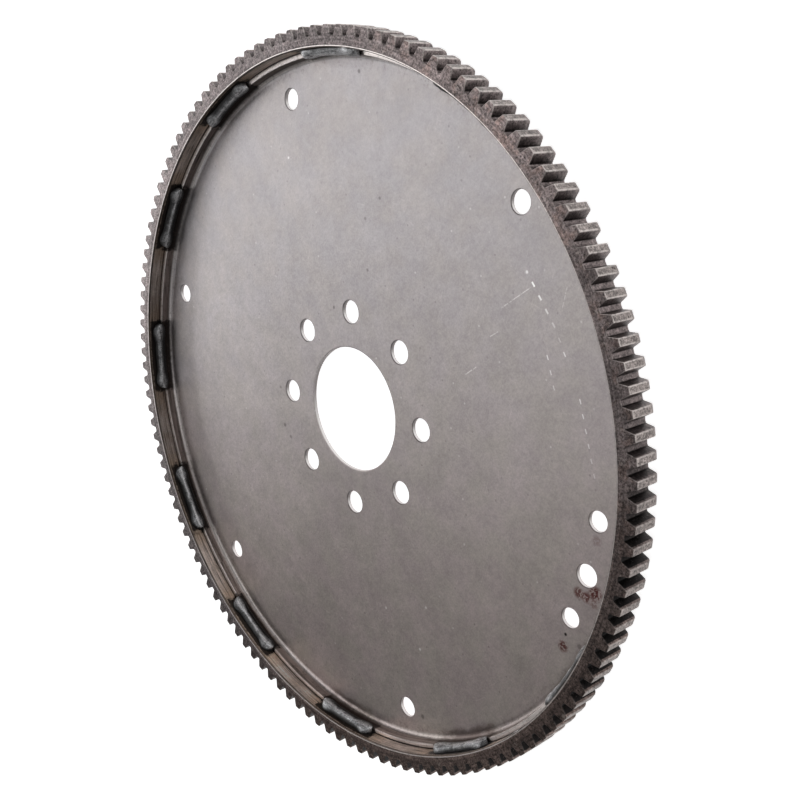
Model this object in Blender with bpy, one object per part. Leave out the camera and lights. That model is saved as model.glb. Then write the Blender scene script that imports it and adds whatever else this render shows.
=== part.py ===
"""Flexplate: a stamped steel disc, a starter ring gear round its rim, and stitch welds.

Metres, +Z up. The part lies on the back of the disc's hub, with its recessed side up.
The origin is where the bore's axis meets that face. +X runs through the middles of a
crank hole and a converter hole, which line up.
"""
import math

import bmesh
import bpy
from mathutils import Matrix, Vector

MM = 0.001

# Fits
CLEARANCE = 0.3 * MM
JOIN_DISTANCE = 0.001 * MM

# Ring gear, stub teeth
TOOTH_COUNT = 127
GEAR_MODULE = 3.0 * MM
PRESSURE_ANGLE = math.radians(20.0)
ADDENDUM_IN_MODULES = 0.8
DEDENDUM_IN_MODULES = 0.9
TOOTH_THICKNESS = 5.1 * MM
FIRST_TOOTH_ANGLE = math.radians(1.0)
ROOT_FILLET = 0.7 * MM
TOOTH_END_RADIUS = 2.0 * MM
TOOTH_END_STEPS = 2
RING_WALL = 5.3 * MM
RING_WIDTH = 15.0 * MM
RING_FRONT_CHAMFER = 0.5 * MM
RING_BACK_CHAMFER = 1.0 * MM
RING_OVERHANG = 8.0 * MM

# Stamped disc
SHEET_THICKNESS = 2.4 * MM
DISH_RISE = 1.4 * MM
FLANGE_HEIGHT = 6.5 * MM
BEND_INSIDE_RADIUS = 3.0 * MM
BEND_STEPS = 4
BORE_RADIUS = 33.4 * MM
SMOOTH_BELOW = math.radians(25.0)

# Crank holes, round the bore
CRANK_HOLE_COUNT = 8
CRANK_CIRCLE_RADIUS = 52.4 * MM
CRANK_HOLE_RADIUS = 6.1 * MM
HUB_MARGIN = 12.0 * MM

# Converter holes, near the rim
CONVERTER_HOLE_COUNT = 6
CONVERTER_HOLE_INSET = 12.6 * MM
CONVERTER_HOLE_RADIUS = 5.4 * MM
PAD_MARGIN = 14.0 * MM

# Two smaller holes beside the last converter hole, on its circle
SIDE_HOLE_RADIUS = 4.8 * MM
SIDE_HOLE_ANGLES = (math.radians(9.5), math.radians(-8.6))
HOLE_SIDES = 24

# Stitch welds in the corner of the ring's bore and the flange's edge
WELD_COUNT = 12
WELD_LENGTH = 43.0 * MM
WELD_RISE = 5.3 * MM
WELD_OVERHANG = 1.1 * MM
WELD_LAP = 2.8 * MM
WELD_WAIST = 0.82
WELD_SWELL_AT = 0.78
WELD_END_POWER = 7
WELD_END_FLAT = 0.3 * MM
WELD_STATIONS = 11
WELD_CROWN_ANGLES = (0, 30, 60, 90)

# Sizes that follow
TOOTH_PITCH = 2 * math.pi / TOOTH_COUNT
PITCH_RADIUS = TOOTH_COUNT * GEAR_MODULE / 2
TIP_RADIUS = PITCH_RADIUS + ADDENDUM_IN_MODULES * GEAR_MODULE
ROOT_RADIUS = PITCH_RADIUS - DEDENDUM_IN_MODULES * GEAR_MODULE
RING_BORE_RADIUS = ROOT_RADIUS - RING_WALL

FLANGE_RADIUS = RING_BORE_RADIUS - CLEARANCE
FLANGE_INNER_RADIUS = FLANGE_RADIUS - SHEET_THICKNESS
BEND_CENTRE_RADIUS = FLANGE_INNER_RADIUS - BEND_INSIDE_RADIUS
CONVERTER_CIRCLE_RADIUS = BEND_CENTRE_RADIUS - CONVERTER_HOLE_INSET
DISH_OUTER_RADIUS = CONVERTER_CIRCLE_RADIUS - PAD_MARGIN
HUB_RADIUS = CRANK_CIRCLE_RADIUS + HUB_MARGIN

RIM_FRONT_Z = SHEET_THICKNESS + DISH_RISE
BEND_CENTRE_Z = RIM_FRONT_Z + BEND_INSIDE_RADIUS
FLANGE_TOP_Z = RIM_FRONT_Z + FLANGE_HEIGHT
RING_FRONT_Z = FLANGE_TOP_Z + RING_OVERHANG
RING_BACK_Z = RING_FRONT_Z - RING_WIDTH

WELD_SEAT_RADIUS = RING_BORE_RADIUS - CLEARANCE
WELD_LAP_RADIUS = FLANGE_INNER_RADIUS - CLEARANCE
WELD_SEAT_Z = FLANGE_TOP_Z + CLEARANCE
WELD_HALF_ANGLE = WELD_LENGTH / RING_BORE_RADIUS / 2
WELD_LAST_STATION = 1 - 2 * WELD_END_FLAT / WELD_LENGTH


def clear_scene():
    for old in list(bpy.data.objects):
        bpy.data.objects.remove(old, do_unlink=True)


def make_material(name, colour, roughness, metallic):
    material = bpy.data.materials.new(name)
    material.use_nodes = True
    shader = material.node_tree.nodes["Principled BSDF"]
    shader.inputs["Base Color"].default_value = (*colour, 1.0)
    shader.inputs["Roughness"].default_value = roughness
    shader.inputs["Metallic"].default_value = metallic
    return material


def add_object(name, mesh, parent):
    new = bpy.data.objects.new(name, mesh)
    bpy.context.scene.collection.objects.link(new)
    new.parent = parent
    return new


def mesh_from(bm, name, material):
    """Close off a bmesh as a smooth-shaded mesh with its faces out and sharp edges kept."""
    bmesh.ops.recalc_face_normals(bm, faces=bm.faces)
    mesh = bpy.data.meshes.new(name)
    bm.to_mesh(mesh)
    bm.free()
    mesh.materials.append(material)
    mesh.shade_smooth()
    mesh.set_sharp_from_angle(angle=SMOOTH_BELOW)
    return mesh


def polar(radius, angle, z=0.0):
    return Vector((radius * math.cos(angle), radius * math.sin(angle), z))


def spin_copies(bm, geometry, angle, steps):
    """Repeat geometry round the Z axis and join the copies at their shared points."""
    bmesh.ops.spin(
        bm, geom=geometry, cent=(0, 0, 0), axis=(0, 0, 1), dvec=(0, 0, 0),
        angle=angle * (steps - 1), steps=steps - 1, use_duplicate=True,
    )
    bmesh.ops.remove_doubles(bm, verts=bm.verts, dist=JOIN_DISTANCE)


def involute(angle):
    return math.tan(angle) - angle


def tooth_half_angle(radius):
    """Half of a tooth's width at a radius, as an angle at the gear's centre."""
    base_radius = PITCH_RADIUS * math.cos(PRESSURE_ANGLE)
    flank_angle = math.acos(base_radius / radius)
    half_at_pitch = TOOTH_THICKNESS / PITCH_RADIUS / 2
    return half_at_pitch + involute(PRESSURE_ANGLE) - involute(flank_angle)


def tooth_outline(tip_radius):
    """Radius and angle of each corner of a tooth, from its right root to its left root."""
    flank_foot = ROOT_RADIUS + ROOT_FILLET
    foot_angle = tooth_half_angle(flank_foot)
    root_angle = foot_angle + ROOT_FILLET / ROOT_RADIUS
    tip_angle = tooth_half_angle(tip_radius)
    right_side = [(ROOT_RADIUS, -root_angle), (flank_foot, -foot_angle), (tip_radius, -tip_angle)]
    left_side = [(radius, -angle) for radius, angle in reversed(right_side)]
    return right_side + left_side


def gear_sector_points(bm, outline, z):
    """One tooth's points at a height, and the next tooth's first point."""
    next_root = (outline[0][0], outline[0][1] + TOOTH_PITCH)
    return [bm.verts.new(polar(radius, angle, z)) for radius, angle in outline + [next_root]]


def join_rows(bm, lower, upper):
    for index in range(len(lower) - 1):
        bm.faces.new((lower[index], lower[index + 1], upper[index + 1], upper[index]))


def make_ring_gear(material, parent):
    bm = bmesh.new()
    full_tooth = tooth_outline(TIP_RADIUS)
    rows = []
    for step in range(TOOTH_END_STEPS + 1):
        angle = math.pi / 2 * step / TOOTH_END_STEPS
        eased_tooth = tooth_outline(TIP_RADIUS - TOOTH_END_RADIUS * (1 - math.sin(angle)))
        rise = TOOTH_END_RADIUS * (1 - math.cos(angle))
        rows.append(gear_sector_points(bm, eased_tooth, RING_BACK_Z + rise))
    rows.append(gear_sector_points(bm, full_tooth, RING_FRONT_Z))
    for lower, upper in zip(rows, rows[1:]):
        join_rows(bm, lower, upper)

    bore_profile = [
        (RING_BORE_RADIUS + RING_BACK_CHAMFER, RING_BACK_Z),
        (RING_BORE_RADIUS, RING_BACK_Z + RING_BACK_CHAMFER),
        (RING_BORE_RADIUS, RING_FRONT_Z - RING_FRONT_CHAMFER),
        (RING_BORE_RADIUS + RING_FRONT_CHAMFER, RING_FRONT_Z),
    ]
    start = full_tooth[0][1]
    bore_rows = []
    for radius, z in bore_profile:
        ends = (polar(radius, start, z), polar(radius, start + TOOTH_PITCH, z))
        bore_rows.append([bm.verts.new(point) for point in ends])
    for lower, upper in zip(bore_rows, bore_rows[1:]):
        join_rows(bm, lower, upper)
    bm.faces.new(rows[0] + bore_rows[0][::-1])
    bm.faces.new(rows[-1] + bore_rows[-1][::-1])

    spin_copies(bm, bm.verts[:] + bm.edges[:] + bm.faces[:], TOOTH_PITCH, TOOTH_COUNT)
    ring = add_object("ring_gear", mesh_from(bm, "ring_gear", material), parent)
    ring.rotation_euler.z = FIRST_TOOTH_ANGLE
    return ring


def bend_points(radius):
    """The disc's bend between its flat rim and its flange, from the rim up."""
    points = []
    for step in range(BEND_STEPS + 1):
        angle = math.pi / 2 * step / BEND_STEPS
        across = BEND_CENTRE_RADIUS + radius * math.sin(angle)
        up = BEND_CENTRE_Z - radius * math.cos(angle)
        points.append((across, up))
    return points


def disc_profile():
    """Radius and height round the disc's section: its front, then back along its underside."""
    front = [(BORE_RADIUS, SHEET_THICKNESS), (HUB_RADIUS, SHEET_THICKNESS)]
    front.append((DISH_OUTER_RADIUS, RIM_FRONT_Z))
    front += bend_points(BEND_INSIDE_RADIUS)
    edge = [(FLANGE_INNER_RADIUS, FLANGE_TOP_Z), (FLANGE_RADIUS, FLANGE_TOP_Z)]
    back = bend_points(BEND_INSIDE_RADIUS + SHEET_THICKNESS)[::-1]
    back += [(DISH_OUTER_RADIUS, DISH_RISE), (HUB_RADIUS, 0.0), (BORE_RADIUS, 0.0)]
    return front + edge + back


def hole_centres():
    """Radius, angle and hole radius of every bolt hole."""
    holes = []
    for index in range(CRANK_HOLE_COUNT):
        angle = 2 * math.pi * index / CRANK_HOLE_COUNT
        holes.append((CRANK_CIRCLE_RADIUS, angle, CRANK_HOLE_RADIUS))
    for index in range(CONVERTER_HOLE_COUNT):
        angle = 2 * math.pi * index / CONVERTER_HOLE_COUNT
        holes.append((CONVERTER_CIRCLE_RADIUS, angle, CONVERTER_HOLE_RADIUS))
    last_angle = -2 * math.pi / CONVERTER_HOLE_COUNT
    for offset in SIDE_HOLE_ANGLES:
        holes.append((CONVERTER_CIRCLE_RADIUS, last_angle + offset, SIDE_HOLE_RADIUS))
    return holes


def make_hole_cutter(parent):
    """One mesh of upright pegs, each as wide as its hole and longer than the disc is high."""
    bm = bmesh.new()
    depth = 2 * FLANGE_TOP_Z
    for circle_radius, angle, hole_radius in hole_centres():
        bmesh.ops.create_cone(
            bm, cap_ends=True, segments=HOLE_SIDES, depth=depth,
            radius1=hole_radius, radius2=hole_radius,
            matrix=Matrix.Translation(polar(circle_radius, angle)),
        )
    mesh = bpy.data.meshes.new("bolt_hole_pegs")
    bm.to_mesh(mesh)
    bm.free()
    cutter = add_object("bolt_hole_pegs", mesh, parent)
    cutter.hide_render = True
    cutter.display_type = "WIRE"
    return cutter


def make_disc(material, parent):
    bm = bmesh.new()
    start = FIRST_TOOTH_ANGLE + tooth_outline(TIP_RADIUS)[0][1]
    profile = disc_profile()
    rows = []
    for angle in (start, start + TOOTH_PITCH):
        rows.append([bm.verts.new(polar(radius, angle, z)) for radius, z in profile])
    join_rows(bm, rows[0] + rows[0][:1], rows[1] + rows[1][:1])
    spin_copies(bm, bm.verts[:] + bm.edges[:] + bm.faces[:], TOOTH_PITCH, TOOTH_COUNT)
    disc = add_object("disc", mesh_from(bm, "disc", material), parent)
    cut = disc.modifiers.new("bolt_holes", "BOOLEAN")
    cut.operation = "DIFFERENCE"
    cut.solver = "EXACT"
    cut.object = make_hole_cutter(parent)
    return disc


def weld_swell(along):
    """A bead's size from -1 to 1 along its length: a waist, full size near its round ends."""
    towards_end = min(1.0, abs(along) / WELD_SWELL_AT)
    waist = WELD_WAIST + (1 - WELD_WAIST) * towards_end ** 2
    rounding = math.sqrt(1 - abs(along) ** WELD_END_POWER)
    return waist * rounding


def weld_section(size):
    """Radius and height round a bead's section, from its corner up and over its crown.

    The crown is a quarter of an ellipse. Past the flange's inner face the bead laps down it.
    """
    overhang = WELD_OVERHANG * size
    reach = WELD_SEAT_RADIUS - WELD_LAP_RADIUS + overhang
    points = [(WELD_SEAT_RADIUS, WELD_SEAT_Z)]
    for degrees in WELD_CROWN_ANGLES:
        angle = math.radians(degrees)
        across = WELD_SEAT_RADIUS - reach * math.sin(angle)
        points.append((across, WELD_SEAT_Z + WELD_RISE * size * math.cos(angle)))
    shoulder_radius = WELD_LAP_RADIUS - overhang * 2 / 3
    points.append((shoulder_radius, WELD_SEAT_Z - WELD_LAP * size * 2 / 3))
    points.append((WELD_LAP_RADIUS, WELD_SEAT_Z - WELD_LAP * size))
    points.append((WELD_LAP_RADIUS, WELD_SEAT_Z))
    return points


def make_weld_mesh(material):
    bm = bmesh.new()
    rows = []
    for station in range(WELD_STATIONS):
        turn = math.pi / 2 * (2 * station / (WELD_STATIONS - 1) - 1)
        along = WELD_LAST_STATION * math.sin(turn)
        angle = WELD_HALF_ANGLE * along
        section = weld_section(weld_swell(along))
        rows.append([bm.verts.new(polar(radius, angle, z)) for radius, z in section])
    for near, far in zip(rows, rows[1:]):
        join_rows(bm, near + near[:1], far + far[:1])
    bm.faces.new(rows[0])
    bm.faces.new(rows[-1][::-1])
    return mesh_from(bm, "weld_bead", material)


def make_welds(material, parent):
    mesh = make_weld_mesh(material)
    spacing = 2 * math.pi / WELD_COUNT
    for index in range(WELD_COUNT):
        weld = add_object(f"weld_{index + 1:02d}", mesh, parent)
        weld.rotation_euler.z = spacing * (index + 0.5)


def main():
    clear_scene()
    sheet_steel = make_material("sheet_steel", (0.36, 0.34, 0.33), 0.5, 0.8)
    gear_steel = make_material("gear_steel", (0.17, 0.15, 0.14), 0.5, 0.8)
    weld_metal = make_material("weld_metal", (0.07, 0.07, 0.08), 0.45, 0.8)
    flexplate = add_object("flexplate", None, None)
    make_disc(sheet_steel, flexplate)
    make_ring_gear(gear_steel, flexplate)
    make_welds(weld_metal, flexplate)


main()
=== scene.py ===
"""Looks of a steel flexplate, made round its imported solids.

Metres, +Z up. The part lies on the back of its hub, with its recessed side up, and the
origin is where the bore's axis meets that face.
"""
import math

import bpy
import numpy as np
from mathutils import Matrix, Vector, noise


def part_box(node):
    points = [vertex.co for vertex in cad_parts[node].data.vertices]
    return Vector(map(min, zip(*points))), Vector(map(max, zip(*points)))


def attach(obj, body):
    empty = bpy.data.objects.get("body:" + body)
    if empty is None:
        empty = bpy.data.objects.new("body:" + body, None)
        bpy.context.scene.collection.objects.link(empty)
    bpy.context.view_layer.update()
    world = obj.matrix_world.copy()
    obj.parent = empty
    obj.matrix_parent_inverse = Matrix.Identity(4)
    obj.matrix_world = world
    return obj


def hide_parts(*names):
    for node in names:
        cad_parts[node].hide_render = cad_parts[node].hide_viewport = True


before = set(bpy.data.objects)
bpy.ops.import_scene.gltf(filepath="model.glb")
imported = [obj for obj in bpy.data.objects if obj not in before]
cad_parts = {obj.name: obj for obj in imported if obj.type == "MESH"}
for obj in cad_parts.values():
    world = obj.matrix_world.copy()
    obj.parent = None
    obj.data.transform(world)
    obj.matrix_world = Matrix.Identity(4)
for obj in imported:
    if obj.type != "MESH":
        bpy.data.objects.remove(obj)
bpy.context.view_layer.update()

MM = 0.001

# Ring gear, the same sizes as its solid
TOOTH_COUNT = 127
GEAR_MODULE = 3.0 * MM
PRESSURE_ANGLE = math.radians(20.0)
TOOTH_PITCH = 2 * math.pi / TOOTH_COUNT
PITCH_RADIUS = TOOTH_COUNT * GEAR_MODULE / 2
TIP_RADIUS = PITCH_RADIUS + 0.8 * GEAR_MODULE
ROOT_RADIUS = PITCH_RADIUS - 0.9 * GEAR_MODULE
RING_BORE_RADIUS = ROOT_RADIUS - 5.3 * MM
FIRST_TOOTH_ANGLE = math.radians(1.0)
TOOTH_THICKNESS = 5.1 * MM
ROOT_FILLET = 0.7 * MM
TOOTH_END_ROUND = 2.0 * MM
TOOTH_END_LENGTH = 2.8 * MM
TOOTH_END_EASE = 0.55 * MM
TOOTH_EDGE_ROUND = 0.3 * MM
RING_FRONT_CHAMFER = 0.5 * MM
RING_BACK_CHAMFER = 1.0 * MM
TIP_WEAR = 0.06 * MM
TIP_SEED = 11
RING_BACK_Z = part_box("ring_gear")[0].z
RING_FRONT_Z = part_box("ring_gear")[1].z

# Stamped disc, the same sizes as its solid, but its dish slopes over a longer stretch
CLEARANCE = 0.3 * MM
SHEET_THICKNESS = 2.4 * MM
DISH_RISE = 1.4 * MM
BEND_INSIDE_RADIUS = 3.0 * MM
BORE_RADIUS = 33.4 * MM
FLANGE_RADIUS = RING_BORE_RADIUS - CLEARANCE
FLANGE_INNER_RADIUS = FLANGE_RADIUS - SHEET_THICKNESS
FLANGE_TOP_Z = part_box("disc")[1].z
BEND_CENTRE_RADIUS = FLANGE_INNER_RADIUS - BEND_INSIDE_RADIUS
RIM_FRONT_Z = SHEET_THICKNESS + DISH_RISE
BEND_CENTRE_Z = RIM_FRONT_Z + BEND_INSIDE_RADIUS
HUB_RADIUS = 64.4 * MM
CONVERTER_CIRCLE_RADIUS = BEND_CENTRE_RADIUS - 12.6 * MM
DISH_OUTER_RADIUS = CONVERTER_CIRCLE_RADIUS - 14.0 * MM
DISH_START_RADIUS = HUB_RADIUS - 24 * MM
DISH_END_RADIUS = DISH_OUTER_RADIUS + 20 * MM
DISH_STEPS = 16
BEND_STEPS = 9
CRANK_CIRCLE_RADIUS = 52.4 * MM
CRANK_HOLE_RADIUS = 6.1 * MM
CONVERTER_HOLE_RADIUS = 5.4 * MM
SIDE_HOLE_RADIUS = 4.8 * MM
SIDE_HOLE_ANGLES = (math.radians(9.5), math.radians(-8.6))
EDGE_ROUND = 0.35 * MM

# Stitch welds, the same sizes as their solids, but with a slightly narrower waist
WELD_COUNT = 12
WELD_LENGTH = 43.0 * MM
WELD_RISE = 5.3 * MM
WELD_OVERHANG = 1.1 * MM
WELD_LAP = 2.8 * MM
WELD_LAP_TURN = 45
RIPPLE_PITCH = 1.7 * MM
WELD_WAIST = 0.70
WELD_SWELL_FROM = 0.40
WELD_SWELL_AT = 0.82
WELD_END_POWER = 7
WELD_SEAT_RADIUS = RING_BORE_RADIUS - CLEARANCE
WELD_LAP_RADIUS = FLANGE_INNER_RADIUS - CLEARANCE
WELD_SEAT_Z = FLANGE_TOP_Z + CLEARANCE
WELD_HALF_ANGLE = WELD_LENGTH / RING_BORE_RADIUS / 2
WELD_SPACING = 2 * math.pi / WELD_COUNT

# Marks on the disc: each spot's place and radius in millimetres, and its strength
LIGHT_SPOTS = (
    ((57.9, 124.3), 1.0, 0.6), ((-57, -93), 1.0, 0.5), ((-48, -122), 1.1, 0.6),
    ((-164, 45), 0.9, 0.5), ((-27, -107), 1.0, 0.5), ((146.4, -23.9), 1.1, 0.7),
)
DARK_SPOTS = (
    ((28, 47), 1.3, 0.5), ((97, 61.5), 1.2, 0.5), ((129.7, 112.7), 1.4, 0.6),
    ((63.8, 43.4), 1.2, 0.4), ((81.5, 62), 1.3, 0.4), ((-58.5, 27.5), 1.6, 0.5),
    ((-59, 19.7), 1.5, 0.4), ((-45, 45), 1.3, 0.35), ((-74, -151), 1.8, 0.5),
    ((52.1, -157.6), 1.15, 1.0), ((55.6, -165.4), 1.8, 0.4),
)
RUST_SPOTS = (
    ((72.6, -146.0), 3.6, 0.85), ((75.2, -149.6), 3.6, 0.9), ((80.9, -150.6), 4.8, 1.0),
    ((46.7, -161.2), 3.8, 0.9), ((76.8, -153.9), 3.2, 0.45), ((98, -133), 3.5, 0.25),
)

# Smoke on the disc's rim: each weld's angle in degrees and strength, and the radius in
# millimetres where it is strongest
SMOKED_WELDS = ((45, 0.2), (75, 0.35), (225, 0.6), (255, 0.7), (285, 0.25))
SMOKE_RADIUS = 172
SMOKE_REACH = 45 * MM
SOOT_COLOUR = (0.012, 0.010, 0.010)
BUMP_DEPTH = 0.2 * MM

# Rows of short marks: first and last place, how many, lean in degrees, length, width,
# strength of the first and how much fainter each next one is
DASH_ROWS = (
    ((145.6, -30.0), (142.6, -49.7), 4, 2, 2.9 * MM, 1.3 * MM, 1.0, 0.2),
    ((138.9, -62.5), (140.9, -56.4), 2, 6, 2.6 * MM, 0.9 * MM, 0.75, 0.45),
    ((130.3, -58.0), (124.0, -69.8), 3, 5, 2.6 * MM, 0.8 * MM, 0.8, 0.15),
    ((132.1, -82.4), (116.4, -110.6), 6, 5, 2.6 * MM, 0.8 * MM, 0.8, 0.08),
)

# Long scratches: both ends and how plainly they show
SCRATCHES = (
    ((144.0, -30.2), (122.9, -25.9), 0.45),
    ((114.8, -32.6), (108.4, -31.1), 0.4),
    ((92.0, -36.3), (82.9, -34.6), 0.5),
    ((160.0, -42.0), (151.0, -47.5), 0.25),
)

# How light each bead's ridge is, partly painted light, which also scales its painted glints and crest
# highlight, how full it is laid and how broad its light ridge is, from 15 degrees on in steps of 30
WELD_LOOKS = (
    (0.25, 0.3, 1.0), (1.2, 0.9, 2.4), (1.1, 1.0, 1.2), (0.6, 1.0, 1.0),
    (0.58, 1.0, 1.0), (0.8, 1.0, 1.0), (0.95, 1.0, 1.0), (1.3, 1.0, 1.1),
    (0.7, 0.9, 1.8), (0.6, 0.9, 1.5), (0.3, 0.3, 1.0), (0.25, 0.3, 1.0),
)

# Painted light and shade on the ring's front face, for the sheen of its turned grooves: direction in
# degrees, the cosines of the angle to it where a tone starts and is full, and its share
FACE_PAINTED_SHEEN = (
    (100, 0.6, 0.75, 0.10),
    (112, 0.85, 0.93, 0.26),
    (0, 0.975, 0.998, 0.35),
    (315, 0.55, 0.9, -0.32),
)

# Soft lights: name, azimuth and elevation in degrees, power in watts
SOFTBOXES = (
    ("key_high", 103, 58, 3.2),
    ("key_middle", 126, 35, 3.2),
    ("key_low", 144, 12, 3.6),
    ("back_high", 154, 58, 2.5),
    ("back_left", 198, 35, 0.6),
    ("fill_left", 252, 12, 1.0),
    ("fill_left_high", 257, 58, 0.7),
    ("fill_front", 324, 12, 1.2),
    ("fill_front_high", 309, 58, 2.9),
    ("fill_right", 0, 12, 2.8),
    ("fill_top", 38, 12, 2.9),
)
LAMP_DISTANCE = 1.6
LAMP_SIZE = 0.75
WORLD_LEVEL = 0.02
FLOOR_HALF_SIZE = 4.0
FLOOR_LEVEL = -0.1 * MM
FLOOR_COLOUR = (0.8, 0.8, 0.8)
FLOOR_GLOW = 0.86

# The photo's viewing angle, with the place in metres and the lens in millimetres
CAMERA_PLACE = (0.41458, -0.18773, 0.35647)
CAMERA_FORWARD = (-0.694494, 0.311726, -0.648464)
CAMERA_RIGHT = (0.47108, -0.48423, -0.737295)
CAMERA_LENS = 48.881
CAMERA_SENSOR = 36.0


# Meshes

def new_piece(name, mesh, material, slot, *nodes):
    """Put a finished mesh in the scene in place of the solids that it stands for."""
    piece = bpy.data.objects.new(name, mesh)
    bpy.context.scene.collection.objects.link(piece)
    mesh.materials.append(material)
    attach(piece, "root")
    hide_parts(*nodes)


def grid_mesh(name, points, sharp_above=math.radians(40), edge=None, wrap_columns=True):
    """Quads through an array of points in rows and columns. The rows always close round."""
    rows, columns = points.shape[:2]
    index = np.arange(rows * columns).reshape(rows, columns)
    next_row = np.roll(index, -1, axis=0)
    if wrap_columns:
        corner_a, corner_b = index, np.roll(index, -1, axis=1)
        corner_c, corner_d = np.roll(next_row, -1, axis=1), next_row
    else:
        corner_a, corner_b = index[:, :-1], index[:, 1:]
        corner_c, corner_d = next_row[:, 1:], next_row[:, :-1]
    faces = np.stack([corner_a, corner_b, corner_c, corner_d], -1).reshape(-1, 4).tolist()
    if not wrap_columns:
        faces.append(index[::-1, 0].tolist())
        faces.append(index[:, -1].tolist())
    mesh = bpy.data.meshes.new(name)
    mesh.from_pydata(points.reshape(-1, 3).tolist(), [], faces)
    mesh.shade_smooth()
    mesh.set_sharp_from_angle(angle=sharp_above)
    if edge is not None:
        attribute = mesh.attributes.new("edge", "FLOAT", "POINT")
        attribute.data.foreach_set("value", np.asarray(edge, np.float32).ravel())
    return mesh


def involute(angle):
    return math.tan(angle) - angle


def tooth_half_angle(radius):
    """Half of a tooth's width at a radius, as an angle at the gear's centre."""
    flank_angle = math.acos(PITCH_RADIUS * math.cos(PRESSURE_ANGLE) / radius)
    return TOOTH_THICKNESS / (2 * PITCH_RADIUS) + involute(PRESSURE_ANGLE) - involute(flank_angle)


def half_tooth(tip_radius):
    """Radius, angle and edge share from the middle of a gap to the middle of a tooth's land."""
    foot_radius = ROOT_RADIUS + ROOT_FILLET
    foot_angle = tooth_half_angle(foot_radius)
    fillet_angle = ROOT_FILLET / ROOT_RADIUS
    points = [(ROOT_RADIUS, TOOTH_PITCH / 2, 0.0), (ROOT_RADIUS, foot_angle + fillet_angle, 0.0)]
    points.append((ROOT_RADIUS + 0.3 * ROOT_FILLET, foot_angle + 0.3 * fillet_angle, 0.0))
    flank_top = tip_radius - TOOTH_EDGE_ROUND
    for share in (0.0, 0.25, 0.5, 0.75, 0.92):
        radius = foot_radius + share * (flank_top - foot_radius)
        points.append((radius, tooth_half_angle(radius), 0.0))
    points.append((flank_top, tooth_half_angle(flank_top), 1.0))
    edge_angle = TOOTH_EDGE_ROUND / tip_radius
    middle_radius = tip_radius - 0.3 * TOOTH_EDGE_ROUND
    points.append((middle_radius, tooth_half_angle(middle_radius) - 0.3 * edge_angle, 1.0))
    land_angle = tooth_half_angle(tip_radius) - edge_angle
    points.append((tip_radius, land_angle, 1.0))
    points.append((tip_radius, land_angle - edge_angle, 0.0))
    points.append((tip_radius, 0.0, 0.0))
    return points


def gear_outline(tip_radii, inset):
    """Points round the whole gear, each tooth to its own tip radius, moved in by an inset."""
    radii, angles, edges = [], [], []
    for tooth in range(TOOTH_COUNT):
        middle = FIRST_TOOTH_ANGLE + tooth * TOOTH_PITCH
        half = half_tooth(tip_radii[tooth])
        for radius, angle, edge in half:
            radii.append(radius)
            angles.append(middle - angle)
            edges.append(edge)
        for radius, angle, edge in half[-2:0:-1]:
            radii.append(radius)
            angles.append(middle + angle)
            edges.append(edge)
    radii, angles = np.array(radii), np.array(angles)
    points = np.stack([radii * np.cos(angles), radii * np.sin(angles)], -1)
    along = np.roll(points, -1, axis=0) - np.roll(points, 1, axis=0)
    outward = np.stack([along[:, 1], -along[:, 0]], -1)
    outward /= np.linalg.norm(outward, axis=1, keepdims=True)
    return points - inset * outward, np.array(edges)


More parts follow.
